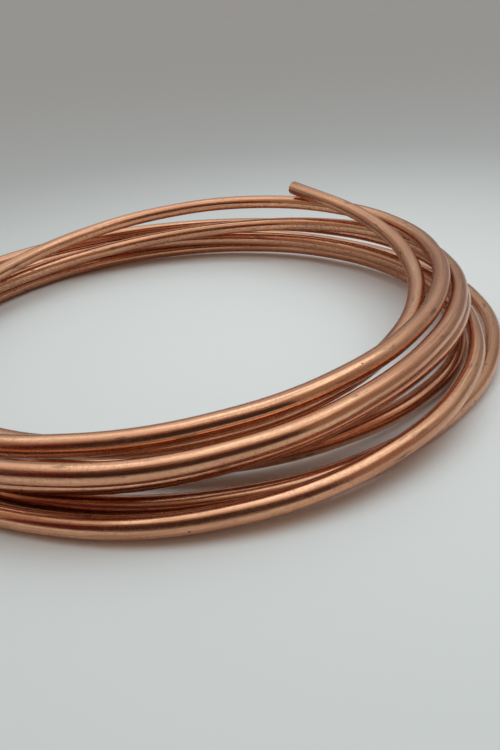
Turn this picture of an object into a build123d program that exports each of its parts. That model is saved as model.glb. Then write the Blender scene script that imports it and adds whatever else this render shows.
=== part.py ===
from build123d import *
import os
from math import cos, radians, sin, tan

# Soft copper tube, sizes in millimetres. The cutter's wheel leaves the rim of each cut end a little rounded.
tube_diameter = 10.0
wall = 0.7
rim_round = 0.3

# The coil lies round an upright centre line. Places on it are told by the angle gone round from the back
# of the coil, clockwise from above, and stations follow each other at even angles.
coil_radius = 175.0
station_angle = 45.0
first_station = -45.0

# The free end sits on top at the back and the other end is down on the floor at the left
free_end_angle = 26.5
floor_end_angle = 2433.5

# The centre line stands a little off the middle of the finished coil's footprint
route_middle = (3.8, -15.8)

# Bends are struck at even angles, each taking this share of the shorter straight beside it
bend_angle = 22.5
bend_share = 0.45

# How far the tube lies outside the coil's radius at the stations, in tube diameters, one line to a turn
# from the top turn down
station_offsets = [
    4.2,
    1.2, -1.8, -4.4, -4.1, -2.1, -1.3, -2.1, -1.2,
    0.6, -0.3, -2.7, -3.5, -1.4, 0.3, -0.3, -1.2,
    -0.6, 0.0, -1.6, -2.5, 0.3, 1.4, 1.2, 1.2,
    1.0, 0.7, -1.0, -3.0, -1.1, 1.0, 1.0, 0.6,
    0.3, -0.3, -1.4, -0.1, 1.2, 0.3, 1.5, 3.6,
    4.3, 3.1, 0.8, -1.0, -0.5, -0.6, -0.3, 0.4,
    1.2, 0.7, -1.1, -2.6, -3.2, -3.4, -3.2, -2.9, -2.6,
]

# How far the tube is raised off the floor at the same stations, in tube diameters
station_lifts = [
    8.4,
    6.5, 4.6, 3.3, 2.7, 1.9, 1.8, 1.8, 2.4,
    4.2, 4.3, 4.0, 3.5, 3.0, 2.1, 1.1, 1.1,
    1.9, 3.1, 3.3, 3.2, 2.1, 2.4, 2.1, 2.0,
    1.9, 2.3, 2.3, 2.1, 1.0, 1.3, 1.1, 1.1,
    1.1, 1.1, 1.2, 1.3, -0.1, 0.1, 0.1, 0.8,
    0.5, -0.2, 0.4, -0.1, 0.1, 0.0, 0.0, 0.0,
    0.1, 0.4, -0.2, 0.4, 0.2, 0.1, 0.0, 0.0, 0.0,
]


def eased(values, angle):
    """A smooth run through the stations, taken at one angle."""
    place = (angle - first_station) / station_angle
    near = min(int(place), len(values) - 3)
    part = place - near
    before, here, following, last = values[near - 1:near + 3]
    return (
        (1 - part) ** 3 * before
        + (3 * part ** 3 - 6 * part ** 2 + 4) * here
        + (1 + 3 * part + 3 * part ** 2 - 3 * part ** 3) * following
        + part ** 3 * last
    ) / 6


def bend_point(angle):
    """Corner that the tube is bent round at one angle, set out so that the runs beside it lie on the route."""
    radius = coil_radius + tube_diameter * eased(station_offsets, angle)
    height = tube_diameter / 2 + tube_diameter * eased(station_lifts, angle)
    outset = 1 / cos(radians(bend_angle / 2))
    side = radians(90 - angle)
    x = route_middle[0] + radius * outset * cos(side)
    y = route_middle[1] + radius * outset * sin(side)
    return Vector(x, y, height)


turned_in_all = floor_end_angle - free_end_angle
bends = round(turned_in_all / bend_angle)
bend_points = [bend_point(free_end_angle + turned_in_all * n / bends) for n in range(bends + 1)]

bend_radii = []
for before, here, following in zip(bend_points, bend_points[1:], bend_points[2:]):
    shorter = min((here - before).length, (following - here).length)
    turned = radians((here - before).get_angle(following - here))
    bend_radii.append(bend_share * shorter / tan(turned / 2))

# The tube is one drawn length, bent by hand into loose turns that cross over each other
with BuildPart() as copper_tube:
    with BuildLine() as route:
        FilletPolyline(*bend_points, radius=bend_radii)
    with BuildSketch(Plane(route.line @ 0, z_dir=route.line % 0)) as section:
        Circle(tube_diameter / 2)
        Circle(tube_diameter / 2 - wall, mode=Mode.SUBTRACT)
    sweep(path=route.line)
    cut_ends = copper_tube.faces().filter_by(GeomType.PLANE)
    rims = [edge for cut_end in cut_ends for edge in cut_end.outer_wire().edges()]
    fillet(rims, radius=rim_round)
copper_tube.part.label = "copper_tube"

os.makedirs("parts", exist_ok=True)
export_step(copper_tube.part, "parts/copper_tube.step")
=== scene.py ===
import bpy
from math import cos, pi, radians, sin, tan
from mathutils import Matrix, Vector


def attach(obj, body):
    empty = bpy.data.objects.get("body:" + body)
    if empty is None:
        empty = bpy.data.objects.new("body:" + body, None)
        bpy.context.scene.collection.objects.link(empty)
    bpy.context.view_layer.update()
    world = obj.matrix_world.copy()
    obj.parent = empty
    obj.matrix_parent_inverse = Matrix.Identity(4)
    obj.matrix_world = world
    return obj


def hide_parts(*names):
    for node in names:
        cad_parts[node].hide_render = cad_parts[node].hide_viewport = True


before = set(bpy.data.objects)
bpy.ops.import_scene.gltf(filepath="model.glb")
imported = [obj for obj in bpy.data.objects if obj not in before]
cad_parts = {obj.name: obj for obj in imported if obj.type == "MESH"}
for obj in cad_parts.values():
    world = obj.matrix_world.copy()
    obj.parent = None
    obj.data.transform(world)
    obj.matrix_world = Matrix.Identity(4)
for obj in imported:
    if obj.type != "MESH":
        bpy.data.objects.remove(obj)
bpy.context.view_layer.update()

# The floor under the coil: a pale, slightly cool matt sheet that runs out of sight. Its tone is a painted
# pool of light:
# lightest round the coil and passing to a darker grey away from it.
def ranged(tree, value, from_low, from_high, to_low=0.0, to_high=1.0, passing="LINEAR"):
    """A value brought from one range to another, and held inside it."""
    node = tree.nodes.new("ShaderNodeMapRange")
    node.interpolation_type = passing
    node.inputs["From Min"].default_value = from_low
    node.inputs["From Max"].default_value = from_high
    node.inputs["To Min"].default_value = to_low
    node.inputs["To Max"].default_value = to_high
    tree.links.new(value, node.inputs["Value"])
    return node.outputs["Result"]


def mixed(tree, amount, first, second):
    """One colour passing into another by an amount. Each is written out or comes from another node."""
    node = tree.nodes.new("ShaderNodeMix")
    node.data_type = "RGBA"
    tree.links.new(amount, node.inputs["Factor"])
    colour_sockets = [socket for socket in node.inputs if socket.type == "RGBA"]
    for socket, value in zip(colour_sockets, (first, second)):
        if isinstance(value, tuple):
            socket.default_value = (*value, 1)
        else:
            tree.links.new(value, socket)
    return [socket for socket in node.outputs if socket.type == "RGBA"][0]


def matt_sheet(name, finish, corners, middle, near_distance, far_distance, near_tone, far_tone):
    """A flat matt sheet whose tone passes into another with the distance from a place in the room."""
    mesh = bpy.data.meshes.new(name)
    mesh.from_pydata(corners, [], [(0, 1, 2, 3)])
    sheet = bpy.data.objects.new(name, mesh)
    bpy.context.scene.collection.objects.link(sheet)
    material = bpy.data.materials.new(finish)
    material.use_nodes = True
    tree = material.node_tree
    place = tree.nodes.new("ShaderNodeTexCoord")
    distance = tree.nodes.new("ShaderNodeVectorMath")
    distance.operation = "DISTANCE"
    distance.inputs[1].default_value = middle
    tree.links.new(place.outputs["Object"], distance.inputs[0])
    amount = ranged(tree, distance.outputs["Value"], near_distance, far_distance, passing="SMOOTHSTEP")
    surface = tree.nodes["Principled BSDF"]
    surface.inputs["Roughness"].default_value = 1.0
    surface.inputs["Specular IOR Level"].default_value = 0.0
    tree.links.new(mixed(tree, amount, near_tone, far_tone), surface.inputs["Base Color"])
    mesh.materials.append(material)
    return sheet


floor_reach = 60.0
floor = matt_sheet(
    "floor",
    "pale_floor",
    [
        (-floor_reach, -floor_reach, 0),
        (floor_reach, -floor_reach, 0),
        (floor_reach, floor_reach, 0),
        (-floor_reach, floor_reach, 0),
    ],
    # painted pool of light: lightest round this middle, passing to the darker far tone with distance
    middle=(0.10, 0.0, 0.0),
    near_distance=0.0,
    far_distance=0.72,
    near_tone=(0.95, 0.98, 1.0),
    far_tone=(0.572, 0.603, 0.615),
)

# The copper tube: soft drawn tube, 10 mm outside and 0.7 mm thick, bent by hand into loose turns.
# It is one length, hollow from end to end, with each cut rim rolled in a little by the cutter's wheel.
tube_radius = 0.005
wall = 0.0007
rim_round = 0.0003
coil_radius = 0.175
route_middle = Vector((0.0038, -0.0158, 0))

# Its route: degrees gone round clockwise from the back, with a station each 45 degrees
station_angle = 45.0
first_station = -45.0
free_end_angle = 26.5
floor_end_angle = 2433.5
bend_angle = 22.5
bend_share = 0.45

# How far the tube lies outside the coil's radius at the stations, in tube diameters, a line to a turn
station_offsets = [
    4.2,
    1.2, -1.8, -4.4, -4.1, -2.1, -1.3, -2.1, -1.2,
    0.6, -0.3, -2.7, -3.5, -1.4, 0.3, -0.3, -1.2,
    -0.6, 0.0, -1.6, -2.5, 0.3, 1.4, 1.2, 1.2,
    1.0, 0.7, -1.0, -3.0, -1.1, 1.0, 1.0, 0.6,
    0.3, -0.3, -1.4, -0.1, 1.2, 0.3, 1.5, 3.6,
    4.3, 3.1, 0.8, -1.0, -0.5, -0.6, -0.3, 0.4,
    1.2, 0.7, -1.1, -2.6, -3.2, -3.4, -3.2, -2.9, -2.6,
]

# How far the tube is raised off the floor at the same stations, in tube diameters
station_lifts = [
    8.4,
    6.5, 4.6, 3.3, 2.7, 1.9, 1.8, 1.8, 2.4,
    4.2, 4.3, 4.0, 3.5, 3.0, 2.1, 1.1, 1.1,
    1.9, 3.1, 3.3, 3.2, 2.1, 2.4, 2.1, 2.0,
    1.9, 2.3, 2.3, 2.1, 1.0, 1.3, 1.1, 1.1,
    1.1, 1.1, 1.2, 1.3, -0.1, 0.1, 0.1, 0.8,
    0.5, -0.2, 0.4, -0.1, 0.1, 0.0, 0.0, 0.0,
    0.1, 0.4, -0.2, 0.4, 0.2, 0.1, 0.0, 0.0, 0.0,
]


def eased(values, angle):
    """A smooth run through the stations, taken at one angle."""
    place = (angle - first_station) / station_angle
    near = min(int(place), len(values) - 3)
    part = place - near
    before, here, following, last = values[near - 1:near + 3]
    return (
        (1 - part) ** 3 * before
        + (3 * part ** 3 - 6 * part ** 2 + 4) * here
        + (1 + 3 * part + 3 * part ** 2 - 3 * part ** 3) * following
        + part ** 3 * last
    ) / 6


def bend_point(angle):
    """Corner that one bend goes round, set out so that the runs beside it lie on the route."""
    radius = coil_radius + 2 * tube_radius * eased(station_offsets, angle)
    height = tube_radius + 2 * tube_radius * eased(station_lifts, angle)
    outset = 1 / cos(radians(bend_angle / 2))
    side = radians(90 - angle)
    return route_middle + Vector((radius * outset * cos(side), radius * outset * sin(side), height))


turned_in_all = floor_end_angle - free_end_angle
bends = round(turned_in_all / bend_angle)
bend_points = [bend_point(free_end_angle + turned_in_all * n / bends) for n in range(bends + 1)]

# The centre line, a place and a direction at each step: round bends with short straights between them
steps_in_bend = 7
line = [(bend_points[0], (bend_points[1] - bend_points[0]).normalized())]
for before, here, following in zip(bend_points, bend_points[1:], bend_points[2:]):
    coming = (here - before).normalized()
    going = (following - here).normalized()
    taken = bend_share * min((here - before).length, (following - here).length)
    turned = coming.angle(going)
    bend_radius = taken / tan(turned / 2)
    inward = (going - coming * going.dot(coming)).normalized()
    bend_middle = here - coming * taken + inward * bend_radius
    for n in range(steps_in_bend + 1):
        part = turned * n / steps_in_bend
        place_on_bend = bend_middle + (coming * sin(part) - inward * cos(part)) * bend_radius
        line.append((place_on_bend, coming * cos(part) + inward * sin(part)))
line.append((bend_points[-1], (bend_points[-1] - bend_points[-2]).normalized()))

# Round the tube: a ring of points at each step, outside and inside, and the rolled rims between them
points_round = 48
vertices = []
faces = []
straightened = []


def add_ring(middle, side, direction, along, radius):
    """A ring of points round the tube, each also stored as it was on the straight tube, before bending."""
    other = direction.cross(side)
    first = len(vertices)
    for n in range(points_round):
        turn = 2 * pi * n / points_round
        vertices.append(middle + (side * cos(turn) + other * sin(turn)) * radius)
        straightened.append((along, radius * cos(turn), radius * sin(turn)))
    return first


def join_rings(first, second):
    """A band of four-sided faces between two rings."""
    for n in range(points_round):
        following = (n + 1) % points_round
        faces.append((first + n, first + following, second + following, second + n))


side = line[0][1].cross(Vector((0, 0, 1))).normalized()
along = 0.0
last_middle = line[0][0]
placed_steps = []
for middle, direction in line:
    side = (side - direction * side.dot(direction)).normalized()
    along += (middle - last_middle).length
    last_middle = middle
    placed_steps.append((middle, side.copy(), direction, along))

rim_steps = 3


def rim_rings(end_step, way):
    """Rings over the rounded outer edge of one cut end and across its face to the bore."""
    middle, side, direction, along = end_step
    rings = []
    for n in range(rim_steps + 1):
        turn = pi / 2 * n / rim_steps
        inward = rim_round * (1 - cos(turn))
        back = rim_round * (1 - sin(turn))
        place = middle - direction * way * back
        rings.append(add_ring(place, side, direction, along - way * back, tube_radius - inward))
    rings.append(add_ring(middle, side, direction, along, tube_radius - wall))
    return rings


start_rings = rim_rings(placed_steps[0], -1)
end_rings = rim_rings(placed_steps[-1], 1)
outside = [add_ring(*step, tube_radius) for step in placed_steps[1:-1]]
inside = [add_ring(*step, tube_radius - wall) for step in placed_steps[1:-1]]
outer_run = start_rings[:-1][::-1] + outside + end_rings[:-1]
inner_run = [start_rings[-1]] + inside + [end_rings[-1]]
for first, second in zip(outer_run, outer_run[1:]):
    join_rings(first, second)
for first, second in zip(inner_run[::-1], inner_run[::-1][1:]):
    join_rings(first, second)
join_rings(start_rings[-1], start_rings[-2])
join_rings(end_rings[-2], end_rings[-1])

tube_mesh = bpy.data.meshes.new("copper_tube_drawn")
tube_mesh.from_pydata(vertices, [], faces)
tube_mesh.shade_smooth()
tube_mesh.set_sharp_from_angle(angle=radians(40))
drawn = tube_mesh.attributes.new("drawn", "FLOAT_VECTOR", "POINT")
drawn.data.foreach_set("vector", [value for point in straightened for value in point])
tube = bpy.data.objects.new("copper_tube_drawn", tube_mesh)
bpy.context.scene.collection.objects.link(tube)

# Its finish: bright copper as the die leaves it, a little tarnished, stained and scuffed. Every mark is laid
# out on the straight tube, so that it follows the bends.
copper = bpy.data.materials.new("drawn_copper")
copper.use_nodes = True
copper_tree = copper.node_tree
shader = copper_tree.nodes["Principled BSDF"]
shader.inputs["Metallic"].default_value = 1.0
on_tube = copper_tree.nodes.new("ShaderNodeAttribute")
on_tube.attribute_name = "drawn"


def stretched(scale):
    """Coordinates on the straight tube, scaled along it and across it."""
    mapping = copper_tree.nodes.new("ShaderNodeMapping")
    mapping.inputs["Scale"].default_value = scale
    copper_tree.links.new(on_tube.outputs["Vector"], mapping.inputs["Vector"])
    return mapping.outputs["Vector"]


def noise(scale, detail=2.0, roughness=0.5):
    """Noise on the straight tube, from 0 to 1, drawn out by its scale."""
    node = copper_tree.nodes.new("ShaderNodeTexNoise")
    node.inputs["Scale"].default_value = 1.0
    node.inputs["Detail"].default_value = detail
    node.inputs["Roughness"].default_value = roughness
    copper_tree.links.new(stretched(scale), node.inputs["Vector"])
    return node.outputs["Fac"]


def patches(scale, edge, full, detail=2.0, roughness=0.5):
    """Patches of a mark: none where its noise is under one level, and full where it is over another."""
    return ranged(copper_tree, noise(scale, detail, roughness), edge, full)


def combined(operation, first, second):
    """Two values combined into one. Each is written out or comes from another node."""
    node = copper_tree.nodes.new("ShaderNodeMath")
    node.operation = operation
    for socket, value in zip(node.inputs, (first, second)):
        if isinstance(value, float):
            socket.default_value = value
        else:
            copper_tree.links.new(value, socket)
    return node.outputs["Value"]


# Lines that the drawing die leaves: broad ones that fade in and out along the tube, and fine ones
broad_lines = noise((9, 900, 900))
fine_lines = noise((25, 2600, 2600), detail=3.0, roughness=0.6)
# Thin tarnish in drawn-out patches, rosier parts, and handling marks in blotches
tarnish = patches((14, 130, 130), 0.42, 0.68, detail=4.0, roughness=0.6)
rosy_parts = patches((6, 60, 60), 0.5, 0.75)
handled = patches((45, 160, 160), 0.5, 0.7, detail=3.0)
# Shallow waves from bending and handling, and a fine grain of dull spots
waves = noise((45, 170, 170), detail=1.0)
grain = noise((420, 800, 800), detail=3.0, roughness=0.6)
# Dark lines drawn out along it, and a few greasy smudges
streaks = patches((16, 1300, 1300), 0.55, 0.66)
smudges = patches((55, 240, 240), 0.63, 0.72, detail=3.0)
# Fine mottled stains, pits and scuffs in patches, the stains and pits mostly on the tube's underside, which
# they darken
across = copper_tree.nodes.new("ShaderNodeSeparateXYZ")
copper_tree.links.new(on_tube.outputs["Vector"], across.inputs["Vector"])
underside_share = ranged(copper_tree, across.outputs["Z"], -0.002, 0.001, 0.15, 1.0)
stained_parts = combined("MULTIPLY", patches((18, 95, 95), 0.38, 0.54), underside_share)
mottling = patches((420, 1000, 1000), 0.48, 0.60, detail=4.0, roughness=0.65)
stains = combined("MULTIPLY", mottling, stained_parts)
pits = combined("MULTIPLY", patches((800, 1200, 1200), 0.62, 0.68, detail=1.0), stained_parts)
scuffed_parts = patches((24, 110, 110), 0.50, 0.62)
scuffs = combined("MULTIPLY", patches((1100, 480, 480), 0.52, 0.64), scuffed_parts)
# Dark specks, a few to a diameter: a cell in four or so has one, and its size is the cell's own
speck_cells = copper_tree.nodes.new("ShaderNodeTexVoronoi")
speck_cells.inputs["Scale"].default_value = 1.0
copper_tree.links.new(stretched((160, 260, 260)), speck_cells.inputs["Vector"])
speck_choice = copper_tree.nodes.new("ShaderNodeSeparateColor")
copper_tree.links.new(speck_cells.outputs["Color"], speck_choice.inputs["Color"])
speck_size = ranged(copper_tree, speck_choice.outputs["Red"], 0.72, 1.0, 0.0, 0.13)
specks = ranged(copper_tree, combined("SUBTRACT", speck_size, speck_cells.outputs["Distance"]), -0.01, 0.03)

# Colours of the metal and its marks, and how strongly each mark shows over those before it
bright_copper = (0.875, 0.475, 0.285)
brown_copper = (0.60, 0.28, 0.16)
rosy_copper = (0.80, 0.375, 0.25)
stain_brown = (0.24, 0.115, 0.072)
smudge_grey = (0.105, 0.085, 0.07)
speck_brown = (0.09, 0.035, 0.022)
colour = mixed(copper_tree, tarnish, bright_copper, brown_copper)
for mark, strength, mark_colour in (
    (rosy_parts, 0.7, rosy_copper),
    (ranged(copper_tree, broad_lines, 0.50, 0.68), 0.6, brown_copper),
    (ranged(copper_tree, fine_lines, 0.50, 0.68), 0.6, brown_copper),
    (streaks, 0.5, stain_brown),
    (ranged(copper_tree, grain, 0.46, 0.72), 0.6, brown_copper),
    (stains, 0.48, stain_brown),
    (scuffs, 0.2, stain_brown),
    (smudges, 0.7, smudge_grey),
    (pits, 0.7, speck_brown),
    (specks, 1.0, speck_brown),
):
    colour = mixed(copper_tree, combined("MULTIPLY", mark, strength), colour, mark_colour)
copper_tree.links.new(colour, shader.inputs["Base Color"])

# How much duller each mark makes the metal
roughness = ranged(copper_tree, broad_lines, 0.3, 0.7, 0.12, 0.20)
roughness = combined("ADD", roughness, ranged(copper_tree, grain, 0.3, 0.7, -0.04, 0.06))
for mark, dulling in ((tarnish, 0.08), (handled, 0.07), (specks, 0.35), (smudges, 0.15)):
    roughness = combined("ADD", roughness, combined("MULTIPLY", mark, dulling))
copper_tree.links.new(roughness, shader.inputs["Roughness"])

# How far each mark stands up or is sunk, as a share of the relief's depth of 0.035 mm
relief_depth = 0.000035
height = broad_lines
for mark, share in ((fine_lines, 0.35), (waves, 0.9), (grain, 0.2), (specks, -0.8), (scuffs, -0.2)):
    height = combined("ADD", height, combined("MULTIPLY", mark, share))
bump = copper_tree.nodes.new("ShaderNodeBump")
bump.inputs["Strength"].default_value = 1.0
bump.inputs["Distance"].default_value = relief_depth
copper_tree.links.new(height, bump.inputs["Height"])
copper_tree.links.new(bump.outputs["Normal"], shader.inputs["Normal"])

tube_mesh.materials.append(copper)
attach(tube, "root")
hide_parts("copper_tube")

# The light: a broad soft lamp that lies level over the coil, its middle a little nearer the camera than the
# coil's, and a dimmer one that carries it on to the left. Both are slightly blue, as daylight indoors is.
lamp_height = 0.9
lamp_depth = 0.9
lamp_middle_y = -0.08
lamp_tint = (0.72, 0.955, 1.0)


def softbox(name, from_x, to_x, brightness):
    """A soft rectangular lamp from one place to another across the room, as bright for any size."""
    lamp_data = bpy.data.lights.new(name, "AREA")
    lamp_data.shape = "RECTANGLE"
    lamp_data.size = to_x - from_x
    lamp_data.size_y = lamp_depth
    lamp_data.energy = brightness * lamp_data.size * lamp_data.size_y
    lamp_data.color = lamp_tint
    lamp = bpy.data.objects.new(name, lamp_data)
    lamp.location = ((from_x + to_x) / 2, lamp_middle_y, lamp_height)
    bpy.context.scene.collection.objects.link(lamp)


softbox("softbox", -0.35, 0.9, 2.5)
softbox("softbox_left", -0.75, -0.35, 1.0)

# A dark card on edge close behind the camera, dark red at its left end, that is only ever mirrored: the
# near turns show it as their dark band, and the far turns, which see past it, hardly at all.
card_left = -0.50
card_right = 0.42
card_y = -0.44
card_low = 0.05
card_high = 0.36
card = matt_sheet(
    "dark_card",
    "dark_card",
    [
        (card_left, card_y, card_low),
        (card_right, card_y, card_low),
        (card_right, card_y, card_high),
        (card_left, card_y, card_high),
    ],
    middle=(-0.45, card_y, 0.2),
    near_distance=0.17,
    far_distance=0.35,
    near_tone=(0.16, 0.020, 0.032),
    far_tone=(0.10, 0.058, 0.052),
)
card.visible_camera = False
card.visible_diffuse = False
card.visible_shadow = False

# The room round it: a grey wall behind and at the sides that grows lighter upward to a white ceiling, and a
# warm brown one on the camera's side. Low down, each has the tone of the far floor, which runs on into it.
wall_foot = (0.255, 0.235, 0.205)
ceiling = (0.90, 0.96, 0.98)
camera_side = (0.35, 0.22, 0.15)
far_floor_seen = (0.306, 0.295, 0.279)
world = bpy.data.worlds.new("room")
bpy.context.scene.world = world
world.use_nodes = True
room_tree = world.node_tree
toward = room_tree.nodes.new("ShaderNodeTexCoord")
axes = room_tree.nodes.new("ShaderNodeSeparateXYZ")
room_tree.links.new(toward.outputs["Generated"], axes.inputs["Vector"])


def passage(axis, start, end):
    """A soft passage from 0 to 1 along one axis of the room, in shares of the way straight along it."""
    return ranged(room_tree, axes.outputs[axis], start, end, passing="SMOOTHSTEP")


wall_tone = mixed(room_tree, passage("Z", 0.1, 0.9), wall_foot, ceiling)
around = mixed(room_tree, passage("Y", 0.3, -0.3), wall_tone, camera_side)
room_tone = mixed(room_tree, passage("Z", 0.18, 0.38), far_floor_seen, around)
room_tree.links.new(room_tone, room_tree.nodes["Background"].inputs["Color"])

# The camera, at the photograph's place: 0.4 m in front of the coil's middle and 0.18 m up, looking down 27
# degrees and leaning a little to one side
image_width = 500
focal_pixels = 700
sensor_width = 36.0
camera_data = bpy.data.cameras.new("camera")
camera_data.sensor_fit = "HORIZONTAL"
camera_data.sensor_width = sensor_width
camera_data.lens = sensor_width * focal_pixels / image_width
camera = bpy.data.objects.new("camera", camera_data)
bpy.context.scene.collection.objects.link(camera)
camera_place = route_middle + Vector((0.0345, -0.400, 0.1825))
down = radians(27.3)
lean = -0.060
forward = Vector((0, cos(down), -sin(down)))
level_right = Vector((1, 0, 0))
level_up = Vector((0, sin(down), cos(down)))
right = level_right * cos(lean) + level_up * sin(lean)
up = level_up * cos(lean) - level_right * sin(lean)
turned_to_view = Matrix((right, up, -forward)).transposed().to_4x4()
camera.matrix_world = Matrix.Translation(camera_place) @ turned_to_view
bpy.context.scene.camera = camera

bpy.context.scene.view_settings.view_transform = "Standard"
